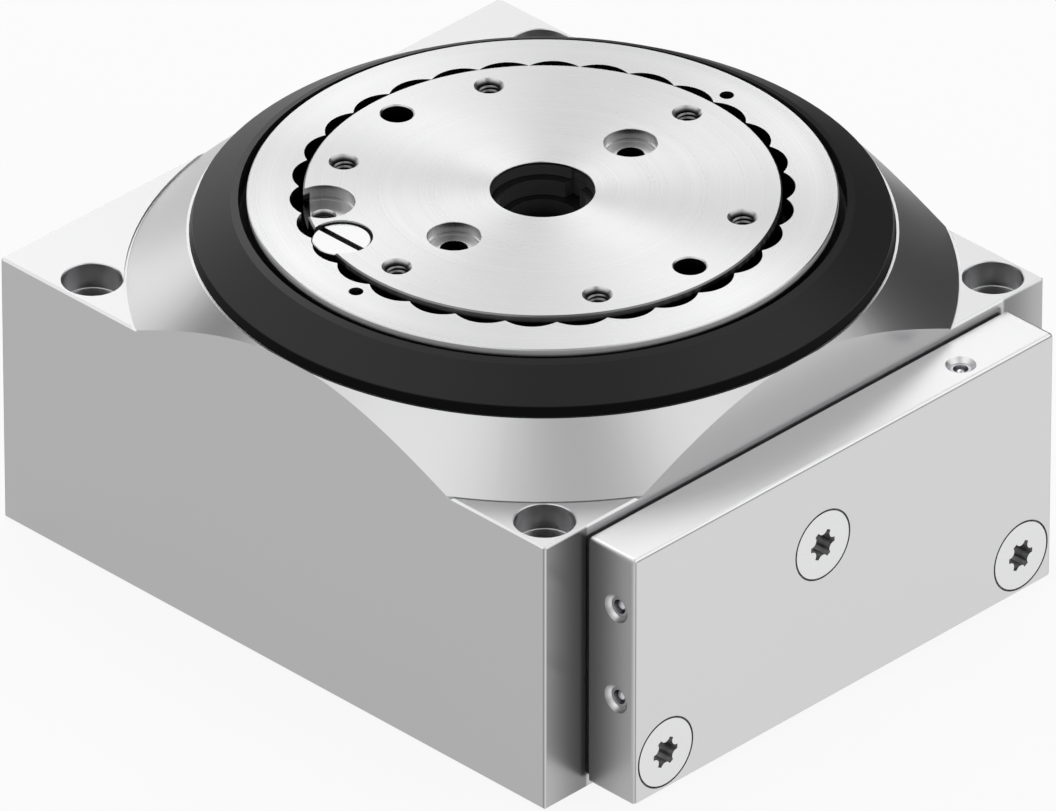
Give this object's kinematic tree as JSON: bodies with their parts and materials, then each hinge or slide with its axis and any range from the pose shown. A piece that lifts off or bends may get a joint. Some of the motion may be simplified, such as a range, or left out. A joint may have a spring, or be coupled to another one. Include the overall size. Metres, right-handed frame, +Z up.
{
  "type": "rotary indexing table",
  "caption": "Square-bodied pneumatic rotary table: turned plate in a locked bearing nut, black cone guard, flat end cover, twin rack pistons inside.",
  "frame": {"origin": "on the table's axis, in the mounting face", "axes": "+Z up along the table's axis, +X from the axis towards the end cover, +Y towards the lock bolt's side"},
  "size_m": [0.1274, 0.108, 0.0628],
  "materials": {
    "housing_aluminium": "fine milled, clear anodised",
    "cover_aluminium": "fine milled, clear anodised",
    "black_aluminium": "black anodised, satin",
    "turned_steel": "face turned in fine rings",
    "bright_screw": "bright plated",
    "zinc_steel": "zinc plated",
    "dark_screw": "black oxide",
    "ground_steel": "hardened and ground",
    "gear_steel": "hardened, lightly oiled",
    "plug_steel": "satin",
    "bronze": "bearing bronze",
    "seal_rubber": "matt black",
    "guide_plastic": "natural acetal",
    "pad_plastic": "polyurethane, orange",
    "gasket": "coated sheet, dark",
    "spring_steel": "spring steel, blued"
  },
  "bodies": {
    "base": {"housing": "housing_aluminium", "end_cover": "cover_aluminium", "cover_gasket": "gasket", "end_cover_screws": "zinc_steel", "channel_plug_sleeves": "plug_steel", "channel_plug_balls": "ground_steel", "guard_ring": "black_aluminium", "table_seal": "seal_rubber", "bearing_outer_race": "ground_steel", "thrust_washer": "bronze", "stop_screws": "dark_screw", "stop_pads": "pad_plastic", "stop_seals": "seal_rubber", "lock_spring": "spring_steel", "lock_cap": "zinc_steel", "cap_seal": "seal_rubber", "bottom_cover": "cover_aluminium", "bottom_cover_screws": "dark_screw", "bottom_cover_seal": "seal_rubber", "spindle_bush": "bronze", "spindle_seal": "seal_rubber"},
    "table": {"table_plate": "turned_steel", "centre_sleeve": "black_aluminium", "preload_ring": "turned_steel", "lock_screw": "bright_screw", "index_ring": "gear_steel", "index_ring_screws": "dark_screw", "index_ring_pins": "ground_steel", "bearing_inner_race": "ground_steel"},
    "roller_set": {"bearing_rollers": "ground_steel", "bearing_cage": "guide_plastic"},
    "pinion": {"drive_gear": "gear_steel", "gear_bush_lower": "bronze", "gear_bush_upper": "bronze", "pawl_carrier": "gear_steel", "carrier_pins": "ground_steel", "pawl_pin": "ground_steel", "pawl_spring": "spring_steel", "spring_screw": "dark_screw"},
    "pawl_arm": {"pawl": "gear_steel"},
    "rack_piston_a": {"rack_a": "ground_steel", "piston_a": "cover_aluminium", "piston_screw_a": "dark_screw", "guide_ring_a": "guide_plastic", "piston_seal_a": "seal_rubber"},
    "rack_piston_b": {"rack_b": "ground_steel", "piston_b": "cover_aluminium", "piston_screw_b": "dark_screw", "guide_ring_b": "guide_plastic", "piston_seal_b": "seal_rubber"},
    "lock": {"lock_bolt": "ground_steel", "lock_seal": "seal_rubber"}
  },
  "joints": [
    {"name": "table_spin", "type": "hinge", "parent": "base", "child": "table", "pos_m": [0, 0, 0.046], "axis": [0, 0, 1], "continuous": true},
    {"name": "roller_orbit", "type": "hinge", "parent": "base", "child": "roller_set", "pos_m": [0, 0, 0.046], "axis": [0, 0, 1], "continuous": true},
    {"name": "rack_a_slide", "type": "slide", "parent": "base", "child": "rack_piston_a", "axis": [1, 0, 0], "range_m": [0, 0.02094]},
    {"name": "rack_b_slide", "type": "slide", "parent": "base", "child": "rack_piston_b", "axis": [-1, 0, 0], "range_m": [0, 0.02094]},
    {"name": "pinion_turn", "type": "hinge", "parent": "base", "child": "pinion", "pos_m": [0, 0, 0.016], "axis": [0, 0, 1], "range_deg": [0, 60]},
    {"name": "pawl_seat", "type": "hinge", "parent": "pinion", "child": "pawl_arm", "pos_m": [0.02349, -0.00082, 0.034], "axis": [0, 0, -1], "range_deg": [0, 16]},
    {"name": "lock_slide", "type": "slide", "parent": "base", "child": "lock", "axis": [0, -1, 0], "range_m": [0, 0.0028]}
  ],
  "couplings": [
    {"joint": "roller_orbit", "follows": "table_spin", "ratio": 0.479},
    {"joint": "pinion_turn", "follows": "rack_a_slide", "rad_per_m": 50},
    {"joint": "rack_b_slide", "follows": "rack_a_slide", "ratio": 1}
  ]
}
